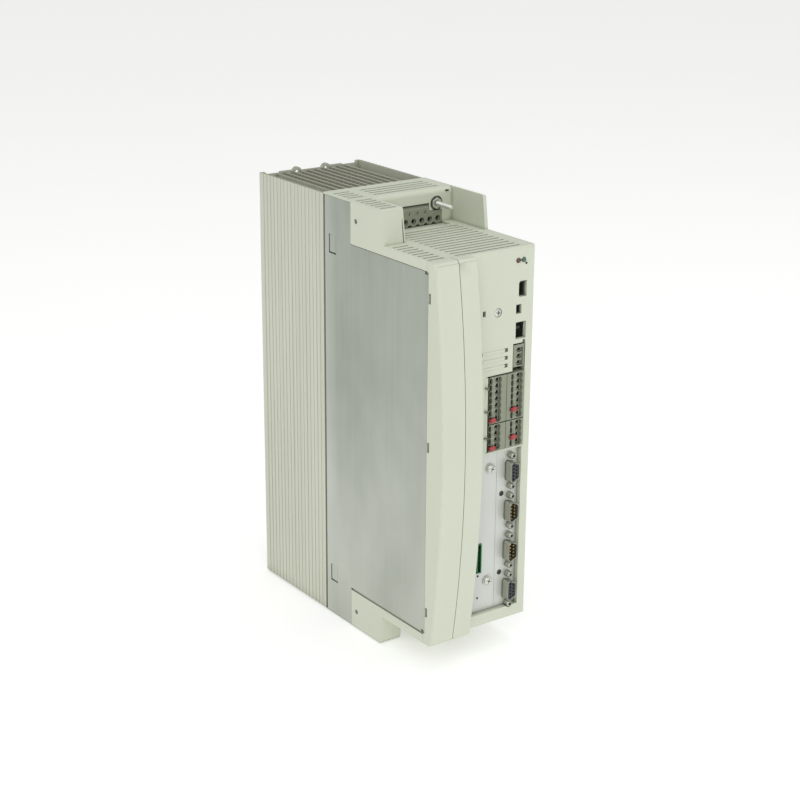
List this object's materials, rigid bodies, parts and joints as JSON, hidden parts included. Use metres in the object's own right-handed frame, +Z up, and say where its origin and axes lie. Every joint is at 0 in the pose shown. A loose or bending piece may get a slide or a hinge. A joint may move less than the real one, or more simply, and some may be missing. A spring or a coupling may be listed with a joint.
{
  "type": "servo drive",
  "caption": "Book-format servo drive with vented plastic housing, rear fin heatsink, pluggable control and power terminals, signal ports and earth studs.",
  "frame": {"origin": "centre of the footprint on the bottom face", "axes": "+Z up, -Y out of the front panel, +X to the right seen from the front"},
  "size_m": [0.097, 0.25, 0.35],
  "materials": {
    "heatsink_aluminium": "extruded, satin",
    "sheet_steel": "galvanised sheet",
    "plate_steel": "bright zinc plated",
    "zinc_steel": "zinc plated",
    "pale_plastic": "fine moulded grain",
    "grey_plastic": "moulded",
    "dark_grey_plastic": "moulded",
    "black_plastic": "moulded",
    "slate_plastic": "moulded",
    "brown_plastic": "moulded",
    "green_plastic": "moulded",
    "blue_plastic": "moulded",
    "red_plastic": "moulded",
    "red_lens": "clear tinted light pipe",
    "green_lens": "clear tinted light pipe",
    "gold_contact": "gold flash",
    "board_laminate": "solder mask over glass laminate",
    "capacitor_sleeve": "shrink sleeve",
    "copper_winding": "enamelled wire",
    "transformer_tape": "polyester tape"
  },
  "bodies": {
    "drive": {"heatsink": "heatsink_aluminium", "rear_plate": "heatsink_aluminium", "rear_plate_screws": "zinc_steel", "left_side_sheet": "sheet_steel", "right_side_sheet": "sheet_steel", "upper_housing": "pale_plastic", "lower_housing": "pale_plastic", "housing_screws": "zinc_steel", "left_cover": "pale_plastic", "front_panel": "pale_plastic", "panel_screw": "zinc_steel", "left_interface_plate": "plate_steel", "right_interface_plate": "plate_steel", "plate_screws": "zinc_steel", "red_light": "red_lens", "green_light": "green_lens", "female_port_shells": "zinc_steel", "female_port_inserts": "slate_plastic", "male_port_shells": "zinc_steel", "male_port_inserts": "brown_plastic", "male_port_contacts": "gold_contact", "port_jackscrews": "zinc_steel", "signal_header": "green_plastic", "keypad_port": "black_plastic", "service_socket": "black_plastic", "jumper_header": "black_plastic", "bus_header": "dark_grey_plastic", "terminal_headers": "dark_grey_plastic", "mains_header": "dark_grey_plastic", "motor_header": "dark_grey_plastic", "earth_studs": "zinc_steel", "earth_nuts": "zinc_steel", "earth_brackets": "plate_steel", "control_board": "board_laminate", "power_board": "board_laminate", "driver_board": "board_laminate", "board_tray": "plate_steel", "dc_link_capacitors": "capacitor_sleeve", "filter_choke": "copper_winding", "transformer": "transformer_tape", "precharge_relay": "blue_plastic", "power_module": "black_plastic", "board_standoffs": "zinc_steel", "fan_frame": "black_plastic", "fan_guard": "zinc_steel"},
    "fan": {"fan_rotor": "black_plastic"},
    "upper_left_plug": {"upper_left_plug": "grey_plastic", "upper_left_coding_tab": "red_plastic"},
    "upper_right_plug": {"upper_right_plug": "grey_plastic", "upper_right_coding_tab": "red_plastic"},
    "lower_left_plug": {"lower_left_plug": "grey_plastic", "lower_left_coding_tab": "red_plastic"},
    "lower_right_plug": {"lower_right_plug": "grey_plastic", "lower_right_coding_tab": "red_plastic"},
    "bus_plug": {"bus_plug": "grey_plastic"},
    "mains_plug": {"mains_plug": "grey_plastic", "mains_clamp_screws": "zinc_steel"},
    "motor_plug": {"motor_plug": "grey_plastic", "motor_clamp_screws": "zinc_steel"},
    "jumper": {"jumper_cap": "black_plastic"}
  },
  "joints": [
    {"name": "fan_spin", "type": "hinge", "parent": "drive", "child": "fan", "pos_m": [0, 0.08165, 0.02], "axis": [0, 0, 1], "continuous": true},
    {"name": "upper_left_plug_pull", "type": "slide", "parent": "drive", "child": "upper_left_plug", "axis": [0, -1, 0], "range_m": [0, 0.014]},
    {"name": "upper_right_plug_pull", "type": "slide", "parent": "drive", "child": "upper_right_plug", "axis": [0, -1, 0], "range_m": [0, 0.014]},
    {"name": "lower_left_plug_pull", "type": "slide", "parent": "drive", "child": "lower_left_plug", "axis": [0, -1, 0], "range_m": [0, 0.014]},
    {"name": "lower_right_plug_pull", "type": "slide", "parent": "drive", "child": "lower_right_plug", "axis": [0, -1, 0], "range_m": [0, 0.014]},
    {"name": "bus_plug_pull", "type": "slide", "parent": "drive", "child": "bus_plug", "axis": [0, -1, 0], "range_m": [0, 0.014]},
    {"name": "mains_plug_pull", "type": "slide", "parent": "drive", "child": "mains_plug", "axis": [0, -1, 0], "range_m": [0, 0.0105]},
    {"name": "motor_plug_pull", "type": "slide", "parent": "drive", "child": "motor_plug", "axis": [0, -1, 0], "range_m": [0, 0.0105]},
    {"name": "jumper_cap_pull", "type": "slide", "parent": "drive", "child": "jumper", "axis": [0, -1, 0], "range_m": [0, 0.01]}
  ]
}
